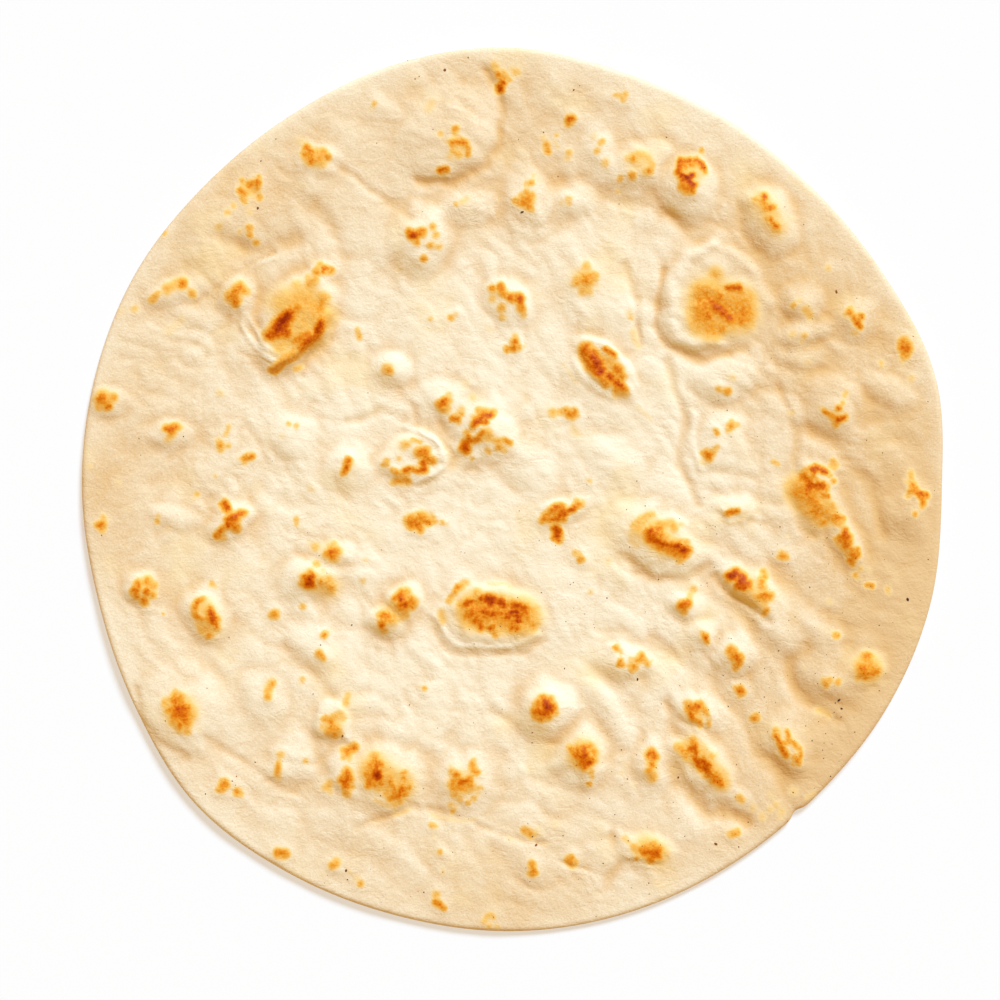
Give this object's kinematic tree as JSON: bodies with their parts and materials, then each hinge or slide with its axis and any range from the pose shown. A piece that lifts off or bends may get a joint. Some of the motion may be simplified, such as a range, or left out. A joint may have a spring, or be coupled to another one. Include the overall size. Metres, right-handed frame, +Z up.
{
  "type": "piadina",
  "caption": "Thin round flatbread: a soft hand-rolled sheet with a blistered upper side, browned spots and a rounded rim, lying flat.",
  "frame": {"origin": "centre of the bounding box at the underside, where the flat pads of the underside touch what carries the bread", "axes": "+Z up out of the blistered upper side, +Y along the longer width, +X to the right of it seen from above"},
  "size_m": [0.2586, 0.2656, 0.0064],
  "materials": {
    "baked_dough": "pale cream baked wheat dough, matt and slightly floury, browned orange to dark red-brown on the blisters"
  },
  "bodies": {
    "root": {"piadina": "baked_dough"}
  },
  "joints": []
}
